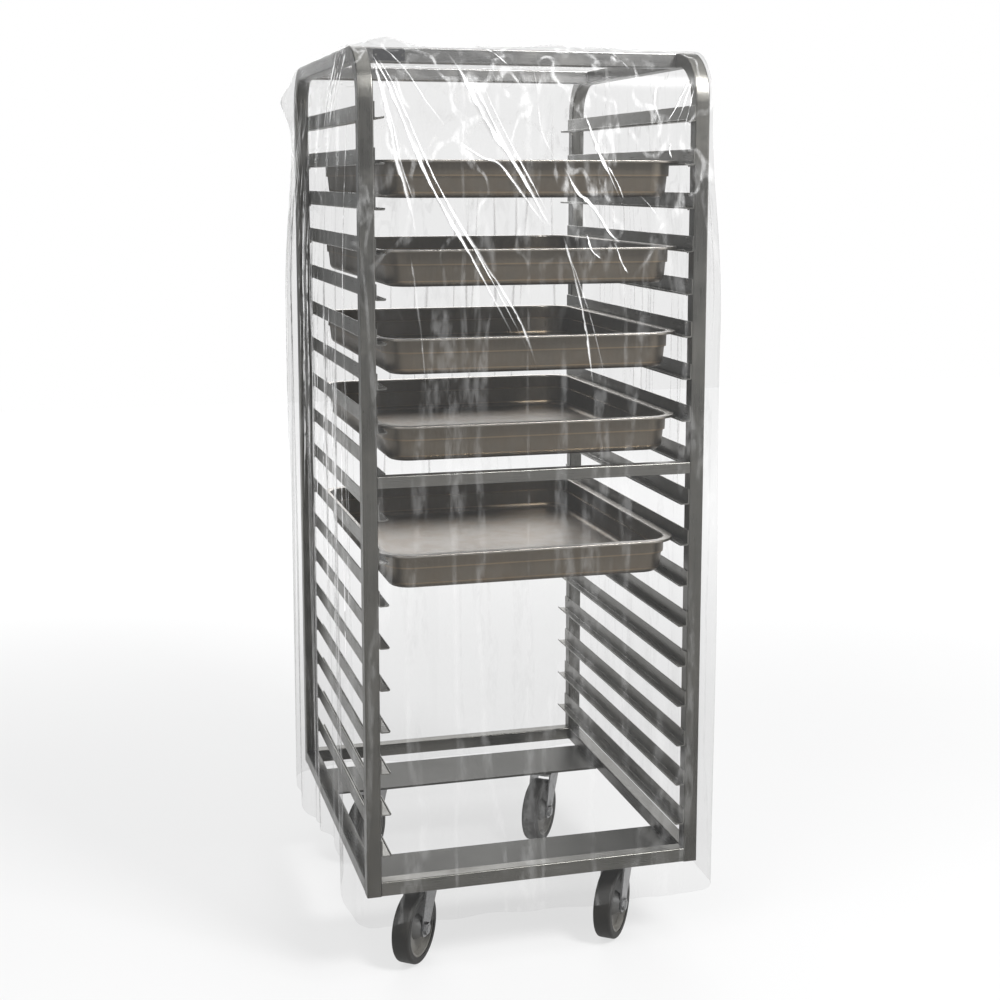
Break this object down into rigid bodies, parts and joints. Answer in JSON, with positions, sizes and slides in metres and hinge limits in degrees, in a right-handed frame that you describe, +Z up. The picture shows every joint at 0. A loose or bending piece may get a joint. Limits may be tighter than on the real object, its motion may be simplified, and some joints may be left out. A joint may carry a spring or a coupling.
{
  "type": "sheet pan rack",
  "caption": "Mobile welded tube rack with stacked ledge rails, deep slide-out pans, swivel castors and a loose transparent film cover",
  "frame": {"origin": "on the floor, under the middle of the frame", "axes": "+X to the rack's right seen from the front, +Y to the rear, where the pans go in, +Z up"},
  "size_m": [0.648, 0.784, 1.587],
  "materials": {
    "frame_steel": "satin stainless tube, ground along its length",
    "rail_steel": "satin stainless sheet, folded",
    "deck_steel": "rolled stainless sheet",
    "pan_steel": "pressed stainless, worn inside",
    "castor_steel": "bright zinc plate",
    "hub_plastic": "moulded grey plastic",
    "tyre_rubber": "dark grey solid rubber",
    "plate_dark": "dark lacquered blank plate",
    "film": "thin clear polythene film"
  },
  "bodies": {
    "frame": {"left_arch": "frame_steel", "right_arch": "frame_steel", "post_end_caps": "frame_steel", "front_top_bar": "frame_steel", "rear_top_bar": "frame_steel", "front_mid_brace": "frame_steel", "front_bottom_tube": "frame_steel", "rear_bottom_tube": "frame_steel", "left_bottom_tube": "frame_steel", "right_bottom_tube": "frame_steel", "front_castor_deck": "deck_steel", "rear_castor_deck": "deck_steel", "name_plate": "plate_dark", "name_plate_rivets": "frame_steel", "rails_01": "rail_steel", "rails_02": "rail_steel", "rails_03": "rail_steel", "rails_04": "rail_steel", "rails_05": "rail_steel", "rails_06": "rail_steel", "rails_07": "rail_steel", "rails_08": "rail_steel", "rails_09": "rail_steel", "rails_10": "rail_steel", "rails_11": "rail_steel", "rails_12": "rail_steel", "rails_13": "rail_steel", "rails_14": "rail_steel", "rails_15": "rail_steel", "rails_16": "rail_steel", "rails_17": "rail_steel", "rails_18": "rail_steel", "castor_studs": "castor_steel", "swivel_races": "castor_steel", "front_left_castor_plate": "castor_steel", "front_right_castor_plate": "castor_steel", "rear_left_castor_plate": "castor_steel", "rear_right_castor_plate": "castor_steel"},
    "pan_02_body": {"pan_02": "pan_steel"},
    "pan_04_body": {"pan_04": "pan_steel"},
    "pan_06_body": {"pan_06": "pan_steel"},
    "pan_08_body": {"pan_08": "pan_steel"},
    "pan_11_body": {"pan_11": "pan_steel"},
    "cover": {"film_cover": "film"},
    "front_left_swivel": {"front_left_fork": "castor_steel", "front_left_axle": "castor_steel"},
    "front_left_wheel": {"front_left_hub": "hub_plastic", "front_left_tyre": "tyre_rubber"},
    "front_right_swivel": {"front_right_fork": "castor_steel", "front_right_axle": "castor_steel"},
    "front_right_wheel": {"front_right_hub": "hub_plastic", "front_right_tyre": "tyre_rubber"},
    "rear_left_swivel": {"rear_left_fork": "castor_steel", "rear_left_axle": "castor_steel"},
    "rear_left_wheel": {"rear_left_hub": "hub_plastic", "rear_left_tyre": "tyre_rubber"},
    "rear_right_swivel": {"rear_right_fork": "castor_steel", "rear_right_axle": "castor_steel"},
    "rear_right_wheel": {"rear_right_hub": "hub_plastic", "rear_right_tyre": "tyre_rubber"}
  },
  "joints": [
    {"name": "pan_02_slide", "type": "slide", "parent": "frame", "child": "pan_02_body", "axis": [0, 1, 0], "range_m": [0, 0.64], "deforming": ["film_cover"]},
    {"name": "pan_04_slide", "type": "slide", "parent": "frame", "child": "pan_04_body", "axis": [0, 1, 0], "range_m": [0, 0.64], "deforming": ["film_cover"]},
    {"name": "pan_06_slide", "type": "slide", "parent": "frame", "child": "pan_06_body", "axis": [0, 1, 0], "range_m": [0, 0.64], "deforming": ["film_cover"]},
    {"name": "pan_08_slide", "type": "slide", "parent": "frame", "child": "pan_08_body", "axis": [0, 1, 0], "range_m": [0, 0.64], "deforming": ["film_cover"]},
    {"name": "pan_11_slide", "type": "slide", "parent": "frame", "child": "pan_11_body", "axis": [0, 1, 0], "range_m": [0, 0.64], "deforming": ["film_cover"]},
    {"name": "cover_lift", "type": "slide", "parent": "frame", "child": "cover", "axis": [0, 0, 1], "range_m": [0, 1.5]},
    {"name": "front_left_turn", "type": "hinge", "parent": "frame", "child": "front_left_swivel", "pos_m": [-0.182, -0.2545, 0.14], "axis": [0, 0, 1], "continuous": true},
    {"name": "front_left_roll", "type": "hinge", "parent": "front_left_swivel", "child": "front_left_wheel", "pos_m": [-0.20306, -0.28245, 0.0625], "axis": [-0.7986, 0.6018, 0], "continuous": true},
    {"name": "front_right_turn", "type": "hinge", "parent": "frame", "child": "front_right_swivel", "pos_m": [0.182, -0.2545, 0.14], "axis": [0, 0, 1], "continuous": true},
    {"name": "front_right_roll", "type": "hinge", "parent": "front_right_swivel", "child": "front_right_wheel", "pos_m": [0.16094, -0.28245, 0.0625], "axis": [-0.7986, 0.6018, 0], "continuous": true},
    {"name": "rear_left_turn", "type": "hinge", "parent": "frame", "child": "rear_left_swivel", "pos_m": [-0.182, 0.2015, 0.14], "axis": [0, 0, 1], "continuous": true},
    {"name": "rear_left_roll", "type": "hinge", "parent": "rear_left_swivel", "child": "rear_left_wheel", "pos_m": [-0.20306, 0.17355, 0.0625], "axis": [-0.7986, 0.6018, 0], "continuous": true},
    {"name": "rear_right_turn", "type": "hinge", "parent": "frame", "child": "rear_right_swivel", "pos_m": [0.182, 0.2015, 0.14], "axis": [0, 0, 1], "continuous": true},
    {"name": "rear_right_roll", "type": "hinge", "parent": "rear_right_swivel", "child": "rear_right_wheel", "pos_m": [0.16094, 0.17355, 0.0625], "axis": [-0.7986, 0.6018, 0], "continuous": true}
  ]
}
